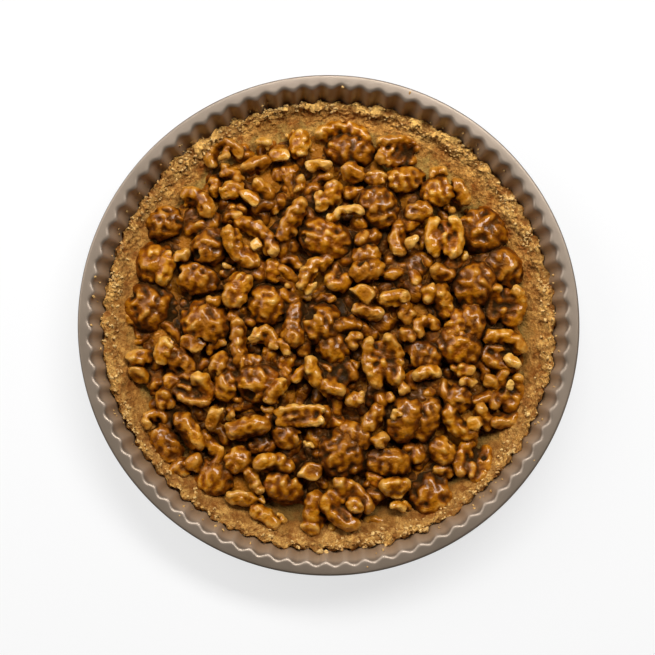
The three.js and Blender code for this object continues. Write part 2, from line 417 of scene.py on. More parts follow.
def knobbly(field, spot, rng, size=0.25):
    """The field with small knobs all over, as a thick coat of caramel leaves them."""
    return field + size * waves(spot, rng, 5.0, 14) + 0.3 * size * waves(spot, rng, 2.6, 14)


def folded(field, spot, rng, length, depth, stretch=(1, 1, 1)):
    """The field with winding creases, and shallower ones that split the rolls between them."""
    spot = warped(spot, rng, 1.1, 0.9 * length)
    deep = creases(waves(spot, rng, length, stretch=stretch), 0.5)
    shallow = creases(waves(spot, rng, 0.52 * length), 0.45)
    return field + depth * deep + 0.34 * depth * shallow * (1 - deep) - 0.3 * depth


def egg(spot, centre, radii):
    scaled = [(s - c) / r for s, c, r in zip(spot, centre, radii)]
    reach = np.sqrt(sum(s * s for s in scaled)) + 1e-5
    steep = np.sqrt(sum((s / r) ** 2 for s, r in zip(scaled, radii))) + 1e-5
    return reach * (reach - 1) / steep


def ball(spot, centre, radius):
    return np.sqrt(sum((s - c) ** 2 for s, c in zip(spot, centre))) - radius


def beads(spot, centres, radii, softness=0.4):
    """Balls grown together, each worked out only around itself."""
    axes = (spot[0][:, 0, 0], spot[1][0, :, 0], spot[2][0, 0, :])
    nearness = np.full(spot[0].shape, 1e-6, np.float32)
    for centre, radius in zip(centres, radii):
        reach = radius + 6 * softness
        box = tuple(slice(*np.searchsorted(axis, (c - reach, c + reach))) for axis, c in zip(axes, centre))
        nearness[box] += np.exp(-ball([s[box] for s in spot], centre, radius) / softness)
    return -softness * np.log(nearness)


def wavy_path(rng, x, y, heading, inside, step=1.2, wiggle=0.75):
    """Points of a roll that winds on from a start until it is no longer inside an outline."""
    phase, pitch, bow = rng.uniform(0, TURN), rng.uniform(7.0, 11.0), rng.normal(0, 0.04)
    path = []
    while inside(x, y) and len(path) < 30:
        path.append((x, y))
        now = heading + wiggle * math.sin(TURN * len(path) * step / pitch + phase) + bow * len(path)
        x, y = x + step * math.cos(now), y + step * math.sin(now)
    return path


def dome(spot, rng, length, width):
    """A half with its rounded side up. Thick winding rolls run from a groove along its middle
    to the knobbly rolls of its rim, which is open at both ends."""
    thick = min(3.2, rng.uniform(0.09, 0.12) * min(length, width) + 0.8)
    long, wide = length / 2 - 0.7 * thick, width / 2 - 0.7 * thick
    high = min(length, width) * rng.uniform(0.36, 0.44)
    centres, radii = [], []

    def put(x, y, radius, sink=0.0):
        crown = high * math.sqrt(max(0.0, 1 - 0.86 * (x / long) ** 2 - 0.86 * (y / wide) ** 2))
        centres.append((x, y, crown - radius - sink))
        radii.append(radius)

    def inside(x, y):
        return (x / long) ** 2 + (y / wide) ** 2 < 0.62

    for side in (-1, 1):
        start = -0.8 * long + rng.uniform(0, 1.2) * thick
        while start < 0.8 * long:
            heading = side * (0.5 * math.pi - 1.0 * start / long + rng.normal(0, 0.3))
            own = thick * rng.uniform(0.85, 1.2)
            for x, y in wavy_path(rng, start, side * 0.75 * own, heading, inside):
                put(x, y, own * rng.uniform(0.96, 1.04), 0.8 * math.exp(-((y / own) ** 2)))
            start += rng.uniform(1.9, 2.5) * thick
        pitch, phase = rng.uniform(4.2, 6.0), rng.uniform(0, TURN)
        first, last = rng.uniform(0.1, 0.3), math.pi - rng.uniform(0.1, 0.3)
        for along in np.arange(first, last, 2.4 / (length + width)):
            swell = math.sin(TURN * along * (length + width) / 4 / pitch + phase)
            out = 1 + 0.1 * swell
            x, y = out * long * math.cos(along), side * out * wide * math.sin(along)
            put(x, y, thick * (1 + 0.22 * swell))
    core = egg(spot, (0, 0, -0.5), (0.97 * long, 0.97 * wide, max(2.0, high - 0.7)))
    half = smooth_union([beads(spot, centres, radii, 0.4), core], 0.5)
    broken_at, size = rng.uniform(0, TURN), rng.uniform(0.1, 0.26) * width
    hole = (1.3 * long * math.cos(broken_at), 1.3 * wide * math.sin(broken_at), rng.uniform(-2, 3))
    return knobbly(smooth_cut(half, ball(spot, hole, size), 0.5), spot, rng)


def open_half(spot, rng, length, width):
    """A half with its inner side up: two lobes with scalloped rims, and between them a valley
    that opens at both ends, with short ribs at its sides and a nub in it."""
    thick = 0.09 * width + 0.9
    long, wide = length / 2 - 0.9 * thick, width / 2 - thick
    centres, radii = [], []
    for side in (-1, 1):
        skew, phase, sag = rng.uniform(-0.08, 0.08), rng.uniform(0, TURN), rng.uniform(-0.9, 0.9)
        for number, sway_angle in enumerate(np.linspace(-1.3, 1.3, 17)):
            out = wide * (0.3 + 0.7 * math.cos(sway_angle) ** 0.8) + rng.uniform(-0.5, 0.5)
            lift = 1.0 * math.sin(2 * sway_angle + phase) + side * sag
            rim = np.array((long * math.sin(sway_angle) * (1 + side * skew), side * out, lift))
            centres.append(rim)
            radii.append(thick * (1.12 if number % 2 else 0.8) * rng.uniform(0.9, 1.1))
            if number % 4 == 1:
                for share in (0.82, 0.64, 0.46):
                    centres.append(rim * (share, share, 1) - (0, 0, 2.2 * (1 - share)))
                    radii.append(thick * rng.uniform(0.75, 0.95))
    nub_end = rng.uniform(-0.25, 0.15) * long
    for x in np.arange(-0.9 * long, nub_end, 1.2):
        centres.append((x, 0.12 * (x - nub_end), 0.4 + 1.2 * (x + long) / long))
        radii.append(thick * rng.uniform(0.5, 0.66))
    bed = egg(spot, (0, 0, -2.6), (0.95 * long, wide, 3.3))
    lobes = beads(spot, centres, radii)
    return knobbly(smooth_union([lobes, bed], 0.6), spot, rng)


def curved(spot, rng, length, width, turn):
    """Part of a half's rim: one roll bent through an angle, its arch towards +Y, with knobs."""
    thick = 0.41 * width
    radius = max(2.0, (length / 2 - thick) / math.sin(min(turn, math.pi) / 2))
    bends = np.linspace(-turn / 2, turn / 2, max(7, int(length / 1.7)))
    lean = radius * (1 + math.cos(turn / 2)) / 2
    wave, phase, pitch = rng.uniform(0, TURN), rng.uniform(0, TURN), rng.uniform(2.3, 3.2)
    centres, radii = [], []
    for number, bend_angle in enumerate(bends):
        swell = 1 + 0.1 * math.sin(TURN * number / pitch + phase) + rng.uniform(-0.06, 0.06)
        sideways = radius + 0.6 * math.sin(TURN * number / 5.3 + wave)
        x, y = sideways * math.sin(bend_angle), sideways * math.cos(bend_angle) - lean
        centres.append((x, y, 0.8 * math.sin(2 * bend_angle + wave)))
        radii.append(thick * swell)
        if rng.random() < 0.5:
            out = rng.choice((-1, -1, 1)) * rng.uniform(0.6, 0.95) * thick
            way = np.array((math.sin(bend_angle), math.cos(bend_angle), 0))
            centres.append(np.array(centres[-1]) + out * way + (0, 0, rng.uniform(-1.5, 1.0)))
            radii.append(thick * rng.uniform(0.36, 0.58))
    flesh = [(0.8 * c[0], c[1] - 0.3 * width, -2.4) for c in centres[1:-1]]
    field = beads(spot, [*centres, *flesh], [*radii, *[0.75 * r for r in radii[1:-1]]])
    return knobbly(folded(field, spot, rng, 6.5, 0.7, (1, 0.5, 0.6)), spot, rng)


def roll(spot, rng, length, width):
    return curved(spot, rng, length, width, 1.5)


def curl(spot, rng, length, width):
    return curved(spot, rng, length, width, 3.6)


def bar(spot, rng, length, width):
    return curved(spot, rng, length, width, rng.uniform(0.3, 0.8))


def lump(spot, rng, length, width):
    """Some knobs of different sizes grown together."""
    count = max(4, round(length * width / 14))
    shifts = np.linspace(-0.5, 0.5, count) * (length - 0.6 * width)
    centres = [(s, rng.uniform(-0.27, 0.27) * width, rng.uniform(-1.5, 1.5)) for s in shifts]
    radii = rng.uniform(0.2, 0.36, count) * width
    return knobbly(folded(beads(spot, centres, radii), spot, rng, 8.0, 0.5), spot, rng)


def coated(spot, rng, length, width):
    """A piece under so much caramel that only the tops of its rolls show."""
    return dome(spot, rng, length, width)


def chunk(spot, rng, length, width):
    """A piece broken on several sides, with soft corners."""
    spot = warped(spot, rng, 0.5, 9)
    halves = np.array([length / 2, width / 2, 0.4 * width])
    ways = np.vstack([rng.normal(size=(8, 3)), np.eye(3), -np.eye(3)])
    ways /= np.linalg.norm(ways, axis=1)[:, None]
    shares = np.concatenate([rng.uniform(0.62, 0.95, 8), np.full(6, 0.98)])
    sides = [
        share * np.linalg.norm(way * halves) - sum(s * w for s, w in zip(spot, way))
        for way, share in zip(ways, shares)
    ]
    folds = waves(spot, rng, 7.0)
    return -smooth_union(sides, 0.6) + 0.5 * creases(folds, 0.3)


def blurred(field, times):
    for _ in range(times):
        for axis in range(3):
            before, after = np.roll(field, 1, axis), np.roll(field, -1, axis)
            field = 0.5 * field + 0.25 * (before + after)
    return field


def sampled(field, spots):
    """The field's value between its samples, at spots given in grid steps."""
    limit = np.array(field.shape) - 1.001
    spots = np.clip(spots, 0, limit)
    base = spots.astype(np.int32)
    share = spots - base
    flat, (_, ny, nz) = field.ravel(), field.shape
    index = (base[:, 0] * ny + base[:, 1]) * nz + base[:, 2]
    total = 0
    for corner in range(8):
        dx, dy, dz = corner >> 2, corner >> 1 & 1, corner & 1
        weight = np.abs(1 - dx - share[:, 0]) * np.abs(1 - dy - share[:, 1]) * np.abs(1 - dz - share[:, 2])
        total = total + weight * flat[index + (dx * ny + dy) * nz + dz]
    return total


def surface_of(field, level=0.0):
    """The field's surface as points in grid steps, and faces that look outwards."""
    grid = openvdb.FloatGrid(FAR)
    grid.copyFromArray(np.clip(field, -FAR, FAR).astype(np.float32))
    points, triangles, quads = grid.convertToPolygons(isovalue=level, adaptivity=0.0)
    return points, [f[:, ::-1].astype(np.int64) for f in (quads, triangles) if len(f)]


HEAP_TOP = 24.6
HEAP_FALL = 4.8
HEAP_HIGHEST = 27.2


def heap_height(x, y):
    """The usual height of the walnuts' tops: a low mound."""
    return HEAP_TOP - HEAP_FALL * (x * x + y * y) / 115**2


FILL_DEPTHS = {coated: 0.5, dome: 1.0}  # how far the caramel in the creases lies under the rolls


class Walnut:
    """One piece of walnut: its distance field, and where it lies in the heap."""

    def __init__(self, kind, x, y, length, width, heading, top, shade, seed, grid=GRID):
        # relief is above 0 on rolls and below it in creases and deep down, and it sets the colour
        # from dark to light, part the nut's own darker creases and part painted shade; glaze is how
        # thick the caramel lies on the bare nut
        rng = np.random.default_rng(seed)
        self.kind, self.shade, self.grid = kind, shade, grid
        reach = (length / 2 + 2.5, max(width, 0.55 * length) / 2 + 3.5, 0.5 * width + 3.5)
        axes = [np.arange(-r, r, grid, dtype=np.float32) for r in reach]
        self.low = np.array([axis[0] for axis in axes])
        spot = np.meshgrid(*axes, indexing="ij")
        underside = -0.32 * min(width, length) - 0.6
        bare = blurred(smooth_cut(kind(spot, rng, length, width), spot[2] - underside, 0.8), 1)
        fill_depth = FILL_DEPTHS.get(kind, 1.7) + 0.6 * waves(spot, rng, 16.0, 9)
        fill_depth = np.maximum(fill_depth, 0.25)
        field = smooth_union([bare, blurred(bare, round(3.5 / grid**2)) + fill_depth], 0.2)
        self.field = field
        tilt = Matrix.Rotation(rng.normal(0, 0.16), 4, "X") @ Matrix.Rotation(rng.normal(0, 0.16), 4, "Y")
        self.turn = np.array((Matrix.Rotation(math.radians(heading), 4, "Z") @ tilt).to_3x3())
        points, self.faces = surface_of(field)
        self.relief = RELIEF_STRENGTH * sampled(blurred(field, round(2.3 / grid**2)), points)
        self.glaze = np.clip(sampled(bare, points), 0, 1)
        points = (points * grid + self.low) @ self.turn.T
        self.place = np.array([x, y, top - points[:, 2].max()])
        self.points = points + self.place
        self.points[:, 2] = np.maximum(self.points[:, 2], FLOOR_TOP - SUNK)
        furthest = tin_wall(self.points[:, 2]) - WALL_MARGIN
        furthest = furthest / np.hypot(self.points[:, 0], self.points[:, 1])
        self.points[:, :2] *= np.minimum(1, furthest)[:, None]
        # painted shade: points lying far under the heap's usual height, or far down from the piece's own
        # top, are made darker
        depth = heap_height(self.points[:, 0], self.points[:, 1]) - self.points[:, 2]
        self.relief -= 0.04 * np.clip(depth - 3, 0, 9) + 0.04 * np.clip(top - self.points[:, 2] - 1.5, 0, 6)

    def distance(self, spots):
        """The distance field at spots in the tart's own millimetres."""
        spots = ((spots - self.place) @ self.turn - self.low) / self.grid
        beyond = spots - np.clip(spots, 0, np.array(self.field.shape) - 1.001)
        return sampled(self.field, spots) + np.linalg.norm(beyond, axis=1) * self.grid


LOW, NORMAL, HIGH = -5.0, 0.0, 2.6  # how far a piece's top lies from the heap's usual height
LAID = [
    # kind, x, y, length, width, heading in degrees, level, shade from 0 dark to 4 pale
    # the quarter with -X and +Y
    (curl, -64.6, 105.4, 25, 8.5, 20, NORMAL, 1),
    (lump, -62, 104, 12, 7, 60, NORMAL, 1),
    (lump, -39.1, 110.2, 11, 7.5, -35, NORMAL, 3),
    (chunk, -29.4, 103.2, 17, 10, 0, NORMAL, 3),
    (dome, -18, 110.2, 17, 11, 85, NORMAL, 3),
    (lump, -22, 115.5, 10, 8, 0, LOW, 2),
    (roll, 9, 117.5, 36, 9.5, -5, NORMAL, 3),
    (bar, -44, 98, 20, 8, 15, NORMAL, 1),
    (lump, -58.4, 91.8, 18, 10, -25, NORMAL, 2),
    (dome, -26.4, 92.2, 17, 11, 5, LOW, 1),
    (chunk, -5, 96, 20, 9, 5, NORMAL, 3),
    (bar, -69.4, 84.7, 15, 9, 85, LOW, 2),
    (coated, -58.5, 81.5, 14, 10, 15, NORMAL, 3),
    (chunk, -48, 78.5, 16, 9.5, -30, NORMAL, 4),
    (bar, -39, 82, 19, 9, -38, NORMAL, 2),
    (roll, -78.2, 75.1, 28, 10, -40, HIGH, 2),
    (dome, -99.3, 62.3, 22, 19, 20, NORMAL, 1),
    (lump, -61.5, 70.7, 11, 10, 70, LOW, 2),
    (coated, -78.6, 65, 19, 12, -10, LOW, 0),
    (roll, -54.5, 45.5, 33, 10, 128, HIGH, 2),
    (roll, -42, 55, 35, 8.5, -42, HIGH, 2),
    (chunk, -44, 48.5, 11, 7, -60, NORMAL, 4),
    (bar, -22.8, 63.6, 31, 9.5, 60, HIGH, 2),
    (dome, -72, 48.3, 22, 18, 70, NORMAL, 1),
    (coated, -103.7, 36, 25, 22, 80, NORMAL, 2),
    (coated, -98, 34, 20, 9, 75, NORMAL, 3),
    (bar, -88.7, 42.1, 12, 7, 30, NORMAL, 2),
    (dome, -79.5, 28.1, 24, 17, -15, NORMAL, 1),
    (lump, -54.9, 20.6, 25, 14, 65, HIGH, 3),
    (roll, -9.2, 32.9, 29, 8, 45, HIGH, 2),
    (chunk, -11, 21.5, 14, 7, 35, NORMAL, 4),
    (dome, -38.2, 11.8, 24, 22, -30, NORMAL, 2),
    (bar, -20.7, 0.5, 32, 13, 85, HIGH, 1),
    (dome, -4, -1, 24, 22, 20, HIGH, 2),
    (dome, -106.7, 10.2, 34, 29, -30, NORMAL, 2),
    (dome, -76, 1.5, 28, 25, -40, HIGH, 2),
    (lump, -70.3, 13.8, 11, 9, 40, NORMAL, 2),
    (lump, -119.5, 3, 8, 8, 0, LOW, 1),
    (bar, -54.5, -12, 34, 9, 95, NORMAL, 1),
    (lump, -50.7, 8.8, 7, 7, 0, LOW, 1),
    (lump, -61.9, 35.5, 7, 6, 0, LOW, 2),
    (coated, -25, 47.8, 12, 8, 0, LOW, 0),
    (lump, -18.9, 82.1, 9, 8, 0, LOW, 0),
    (lump, -31, 74, 15, 9, 60, LOW, 1),
    (lump, -4, 75.1, 14, 10, 90, NORMAL, 3),
    (dome, -1, 52, 30, 22, -25, HIGH, 2),
    # the quarter with +X and +Y
    (dome, 12.7, 105.8, 28, 18, -10, NORMAL, 1),
    (bar, 15.4, 93.5, 17, 10, -25, NORMAL, 1),
    (open_half, 41.7, 105.4, 28, 20, -5, NORMAL, 1),
    (dome, 47, 88, 23, 14, 5, NORMAL, 2),
    (lump, 66.3, 92.2, 14, 8, 0, NORMAL, 1),
    (coated, 65.9, 81.7, 18, 16, 20, HIGH, 3),
    (bar, 80.4, 80.3, 19, 9, -60, NORMAL, 1),
    (lump, 74, 70, 9, 7, 0, LOW, 1),
    (dome, 31.2, 72, 27, 21, -60, HIGH, 1),
    (coated, 29, 89.1, 13, 9, -10, NORMAL, 2),
    (lump, 18.4, 77.7, 8, 7, 0, LOW, 1),
    (roll, 10.1, 67.5, 25, 6, 15, HIGH, 3),
    (coated, 54.9, 68.9, 17, 10, 10, NORMAL, 1),
    (roll, 42, 52, 24, 9, 90, NORMAL, 2),
    (lump, 50, 50, 11, 9, 60, HIGH, 3),
    (open_half, 70.3, 53.1, 27, 24, 90, HIGH, 4),
    (coated, 93.1, 58.4, 30, 26, -40, HIGH, 1),
    (dome, 105, 33.8, 25, 21, -50, NORMAL, 1),
    (coated, 88.3, 24.1, 28, 23, 60, HIGH, 1),
    (open_half, 106.3, 11.8, 27, 26, 80, NORMAL, 2),
    (bar, 81.7, 38.6, 13, 6.5, -20, LOW, 2),
    (bar, 68.9, 32, 17, 9, -25, NORMAL, 1),
    (dome, 51.4, 32.9, 22, 16, 60, LOW, 0),
    (coated, 38.6, 37.3, 14, 10, 80, LOW, 0),
    (coated, 22.4, 41, 17, 12, 20, NORMAL, 2),
    (coated, 23.5, 33, 20, 12, 15, HIGH, 2),
    (bar, 3.9, 32, 16, 9, 70, LOW, 1),
    (chunk, 19.7, 18.9, 17, 12, -20, HIGH, 3),
    (bar, 39.1, 16.7, 21, 8.5, 8, HIGH, 3),
    (bar, 24.1, 8.3, 21, 9, -15, NORMAL, 2),
    (lump, 61, 18, 13, 12, 0, NORMAL, 2),
    (bar, 70, 14, 24, 11, -70, NORMAL, 2),
    (curl, 58.4, -0.5, 18, 8, 20, NORMAL, 1),
    (coated, 76.8, 0.4, 18, 12, 80, NORMAL, 2),
    (coated, 87.4, 2, 23, 14, 95, NORMAL, 1),
    (bar, 24.1, 53.1, 18, 10, 20, NORMAL, 1),
    (lump, 15.8, 61, 9, 8, 0, LOW, 0),
    (lump, 3.9, 80.3, 18, 13, 80, NORMAL, 3),
    (lump, 47, 7, 14, 11, 60, NORMAL, 1),
    # the quarter with +X and -Y
    (dome, 3.1, -11.9, 22, 17, -50, NORMAL, 2),
    (bar, 11.8, -0.5, 22, 10, 0, NORMAL, 1),
    (lump, 15.4, -9.2, 13, 10, 60, NORMAL, 2),
    (open_half, 32.9, -22.4, 32, 25, 100, HIGH, 2),
    (lump, 47.9, -6.6, 12, 10, -45, NORMAL, 1),
    (dome, 56.6, -19, 22, 16, -20, NORMAL, 1),
    (roll, 59, -29.5, 19, 8, 10, HIGH, 3),
    (dome, 78.6, -13.6, 27, 20, -25, HIGH, 2),
    (open_half, 105, -15.5, 28, 26, -20, NORMAL, 1),
    (roll, 106.5, -9, 29, 9, -15, NORMAL, 2),
    (coated, 110.3, -22.4, 11, 6.5, -35, HIGH, 4),
    (lump, 81.2, -27.3, 17, 9, 5, NORMAL, 2),
    (bar, 83.9, -34.3, 13, 6, 5, NORMAL, 2),
    (lump, 97.5, -34.7, 13, 11, -30, NORMAL, 1),
    (open_half, 107, -40, 26, 20, 75, NORMAL, 1),
    (chunk, 109, -37, 12, 5, 65, HIGH, 3),
    (roll, 107.5, -55.5, 25, 8.5, 207, NORMAL, 2),
    (dome, 79.5, -45.3, 17, 15, 60, NORMAL, 1),
    (roll, 76.5, -59, 29, 10, 134, NORMAL, 2),
    (coated, 86.1, -58.9, 9, 8, 0, NORMAL, 4),
    (bar, 92.2, -54.9, 20, 8, -70, NORMAL, 2),
    (coated, 44.8, -57.6, 27, 18, 65, HIGH, 2),
    (lump, 41, -55, 9, 8, 0, HIGH, 3),
    (dome, 59.3, -57.6, 26, 14, 70, NORMAL, 1),
    (lump, 36.4, -43.5, 9, 8.5, 0, LOW, 2),
    (lump, 44.8, -39.1, 9, 8, 80, NORMAL, 2),
    (coated, 52.2, -38.2, 13, 8, 60, LOW, 0),
    (coated, 63.7, -36.5, 16, 11, -50, LOW, 0),
    (lump, 16.2, -45.7, 14, 10, 15, NORMAL, 2),
    (bar, 26.3, -56.7, 21, 10, 55, NORMAL, 2),
    (open_half, 1.1, -28.1, 34, 27, -38, HIGH, 1),
    (roll, -2.5, -34, 36, 9, 142, HIGH, 3),
    (lump, 15.4, -25, 8, 7, 0, LOW, 1),
    (dome, 15.4, -66.3, 21, 13, -30, NORMAL, 1),
    (dome, 7.4, -78.6, 29, 27, -60, HIGH, 1),
    (lump, 31.6, -70.7, 13, 11, 30, HIGH, 1),
    (dome, 35.6, -83, 26, 16, -5, NORMAL, 1),
    (bar, 52.2, -75.1, 17, 7, -5, LOW, 2),
    (coated, 67, -75, 17, 13, -50, NORMAL, 1),
    (open_half, 86.1, -81.3, 26, 24, 70, NORMAL, 2),
    (bar, 39.1, -95, 20, 10, 5, HIGH, 3),
    (lump, 25, -96.2, 12, 10, 0, LOW, 0),
    (dome, 60.6, -99.7, 29, 26, -40, NORMAL, 1),
    (lump, 42.6, -107.2, 14, 8, 10, NORMAL, 2),
    (open_half, 10.5, -105.9, 32, 28, -40, HIGH, 2),
    (coated, 15, -106.5, 10, 8, -30, HIGH, 4),
    (bar, 29.4, -117.3, 19, 6, -18, LOW, 1),
    (lump, 3, -124, 12, 9, 90, LOW, 1),
    # the quarter with -X and -Y
    (chunk, -82.1, -11.4, 18, 14, 20, NORMAL, 1),
    (coated, -111.1, -18.9, 17, 9, 12, NORMAL, 2),
    (coated, -97.5, -15.5, 16, 10, 75, HIGH, 3),
    (coated, -90, -22, 23, 12, -40, NORMAL, 1),
    (chunk, -112.4, -29.5, 15, 12, -10, NORMAL, 1),
    (bar, -99.7, -34.7, 15, 7, 18, LOW, 2),
    (open_half, -82, -39, 25, 20, -20, NORMAL, 1),
    (roll, -75, -38, 23, 9, -65, HIGH, 3),
    (coated, -65.9, -22.9, 14, 10, 65, NORMAL, 2),
    (coated, -46.1, -22.9, 17, 9, 5, NORMAL, 2),
    (curl, -38.2, -7.5, 18, 8, -20, NORMAL, 2),
    (lump, -26.8, -13.6, 14, 9, -60, NORMAL, 2),
    (bar, -34.7, -18.9, 14, 8, -45, LOW, 2),
    (lump, -98, -44.4, 15, 12, -70, NORMAL, 1),
    (curl, -104.1, -55.8, 17, 7, 20, NORMAL, 1),
    (bar, -82.1, -62.8, 28, 11, -50, NORMAL, 2),
    (chunk, -69.4, -56.7, 16, 13, 80, HIGH, 1),
    (lump, -60.2, -54, 9, 8, 60, LOW, 2),
    (dome, -62, -38, 17, 13, 80, NORMAL, 2),
    (bar, -55, -46, 12, 6, -45, LOW, 1),
    (dome, -41, -35, 27, 22, -20, HIGH, 2),
    (bar, -32.5, -40.5, 20, 9, 50, HIGH, 2),
    (lump, -25.9, -28.6, 14, 8, 80, LOW, 2),
    (bar, -48.8, -62, 28, 12, 14, HIGH, 1),
    (open_half, -17.1, -55.4, 32, 14, 3, HIGH, 3),
    (dome, -25.9, -67.2, 17, 14, -40, NORMAL, 1),
    (coated, -96.2, -71.6, 25, 14, -58, NORMAL, 1),
    (lump, -88.3, -84.8, 14, 12, 60, NORMAL, 1),
    (lump, -79.5, -82, 12, 12, 0, NORMAL, 1),
    (dome, -67.2, -91, 22, 19, -10, NORMAL, 2),
    (dome, -54, -79.5, 15, 13, 50, NORMAL, 2),
    (coated, -51.4, -103.2, 18, 8, -10, NORMAL, 2),
    (bar, -37.8, -113.8, 22, 10, -38, NORMAL, 3),
    (lump, -40, -103.7, 9, 7, -30, LOW, 2),
    (roll, -33, -83.5, 26, 10, -10, HIGH, 2),
    (dome, -27, -95.5, 23, 16, -15, NORMAL, 2),
    (chunk, -11, -89.2, 17, 13, -20, NORMAL, 2),
    (bar, -9.2, -112, 28, 12, 87, NORMAL, 2),
    (lump, -27.7, -114.7, 9, 7, -20, LOW, 1),
    (bar, -44.4, -91.8, 20, 6.5, -60, NORMAL, 1),
    (coated, -40, -73.4, 16, 12, -30, LOW, 0),
    (lump, -11.9, -72.5, 8, 6, 10, NORMAL, 1),
    (lump, -5.7, -81.3, 12, 9, -30, LOW, 0),
]
OUTER = 96  # the walnuts past this radius lie further out than the list says


def spread(x, y):
    """Where a listed walnut lies: the outer ones further out, the most on the -Y side."""
    reach = math.hypot(x, y)
    if reach < OUTER:
        return x, y
    direction = math.degrees(math.atan2(y, x)) % 360
    further = reach + (2.2 if 183 < direction < 335 else 0.8)
    return round(x * further / reach, 1), round(y * further / reach, 1)


WALNUTS = [(kind, *spread(x, y), *rest) for kind, x, y, *rest in LAID]
PIECE_NAMES = {
    dome: "walnut_halves",
    open_half: "opened_halves",
    roll: "curved_rims",
    curl: "curled_rims",
    bar: "straight_pieces",
    lump: "knobbly_pieces",
    coated: "thickly_coated_pieces",
    chunk: "broken_chunks",
}

heap = []
for number, (kind, x, y, length, width, heading, level, shade) in enumerate(WALNUTS):
    top = min(heap_height(x, y) + level, HEAP_HIGHEST)
    heap.append(Walnut(kind, x, y, length, width, heading, top, shade / 4, 100 + number))

# Under and between them lie many smaller ones; the deeper ones get darker shades, as painted shade.
filler = np.random.default_rng(7)
covered = [(x, y, 0.25 * (length + width)) for _, x, y, length, width, _, level, _ in WALNUTS if level > LOW]


def heap_reach(angle):
    """How far out the heap lies, in a direction. It leaves some crust bare between +X and +Y."""
    bulges = [(2.5, 3, 0.8), (2.5, 7, 2.0), (2.0, 12, 0.3)]
    return 120 + wander(angle, bulges) - 16 * np.exp(-(((angle - 0.9) / 0.4) ** 2))


def fill(spacing, drop, smallest, largest, shades, clearance):
    """Scatters walnuts on a loose grid. Clearance is how far they stay from the listed ones."""
    steps = np.arange(-114, 115, spacing)
    for x, y in ((x, y) for x in steps for y in steps):
        x, y = x + filler.uniform(-0.4, 0.4) * spacing, y + filler.uniform(-0.4, 0.4) * spacing
        kind = (lump, bar, roll, dome, roll, curl)[filler.integers(6)]
        length, heading = filler.uniform(smallest, largest), filler.uniform(0, 360)
        seed = filler.integers(10**6)
        reach = math.hypot(x, y)
        if reach > heap_reach(math.atan2(y, x)) - 0.3 * length:
            continue
        if any(math.hypot(x - cx, y - cy) < size + clearance for cx, cy, size in covered):
            continue
        top = heap_height(x, y) - drop - filler.uniform(0, 2.5)
        # none lies right under a listed one, and those close to one lie low
        nearest = min(math.hypot(x - cx, y - cy) - size for cx, cy, size in covered)
        if nearest < -6:
            continue
        if nearest < 2:
            top = min(top, heap_height(x, y) - 9)
        width = length * filler.uniform(0.65, 0.85) if kind is dome else filler.uniform(6.5, 10.0)
        heap.append(Walnut(kind, x, y, length, width, heading, top, filler.choice(shades), seed, 0.85))


fill(11.0, 2.4, 12, 20, (0.25, 0.45, 0.7), -1)
fill(12.0, 5.2, 16, 26, (0.15, 0.3, 0.5), -99)

# A coarse field of how near the walnuts are, and how crowded it is around each spot. The
# caramel lies thick where it is crowded, and follows the field further down. Crowded spots
# on the walnuts and the caramel are darkened as painted shade.
HEAP_GRID = 0.85
HEAP_EDGE = 126
MENISCUS = 0.55  # how far the caramel climbs where two walnuts meet
CROWDED_SHADE_STRENGTH = 2.3
USUAL_CROWDING = 0.42

heap_across = np.arange(-HEAP_EDGE, HEAP_EDGE, HEAP_GRID)
heap_axes = [heap_across, heap_across, np.arange(5.0, 33, HEAP_GRID)]
heap_low = np.array([axis[0] for axis in heap_axes])
nearness = np.full([len(axis) for axis in heap_axes], 1e-7)
for walnut in heap:
    first = np.floor((walnut.points.min(axis=0) - 3 - heap_low) / HEAP_GRID).astype(int)
    last = np.ceil((walnut.points.max(axis=0) + 3 - heap_low) / HEAP_GRID).astype(int)
    box = tuple(slice(max(0, f), max(0, l)) for f, l in zip(first, last))
    part = np.meshgrid(*[axis[span] for axis, span in zip(heap_axes, box)], indexing="ij")
    distance = walnut.distance(np.stack(part, axis=-1).reshape(-1, 3))
    nearness[box] += np.exp(-np.clip(distance, -3 * MENISCUS, 9) / MENISCUS).reshape(part[0].shape)
crowding = blurred(np.clip(0.5 + MENISCUS * np.log(nearness) / HEAP_GRID, 0, 1), 14)
# painted shade: walnuts are darker where the heap crowds round them and lighter where it is open
for walnut in heap:
    around = sampled(crowding, (walnut.points - heap_low) / HEAP_GRID)
    walnut.relief -= CROWDED_SHADE_STRENGTH * (around - USUAL_CROWDING)


KEPT_OF_WALNUTS = 0.3


def keep_share(piece, share):
    """Thins the piece's faces out to about this share of them, most where it is smooth."""
    thinner = piece.modifiers.new("thinner", "DECIMATE")
    thinner.ratio = share
    bpy.context.view_layer.objects.active = piece
    with bpy.context.temp_override(object=piece, active_object=piece):
        bpy.ops.object.modifier_apply(modifier=thinner.name)


def joined(name, walnuts, material, share):
    """One piece from many walnuts, which keeps each point's relief and each walnut's shade."""
    starts = np.cumsum([0] + [len(w.points) for w in walnuts])
    faces = {3: [], 4: []}
    for start, walnut in zip(starts, walnuts):
        for group in walnut.faces:
            faces[group.shape[1]].append(group + start)
    faces = [np.concatenate(group) for group in faces.values() if group]
    piece = mesh_object(name, np.concatenate([w.points for w in walnuts]), faces, material)
    for key, values in (
        ("relief", np.concatenate([w.relief for w in walnuts])),
        ("glaze", np.concatenate([w.glaze for w in walnuts])),
        ("shade", np.concatenate([np.full(len(w.points), w.shade) for w in walnuts])),
    ):
        layer = piece.data.attributes.new(key, "FLOAT", "POINT")
        layer.data.foreach_set("value", values.astype(np.float32))
    keep_share(piece, share)
    return piece


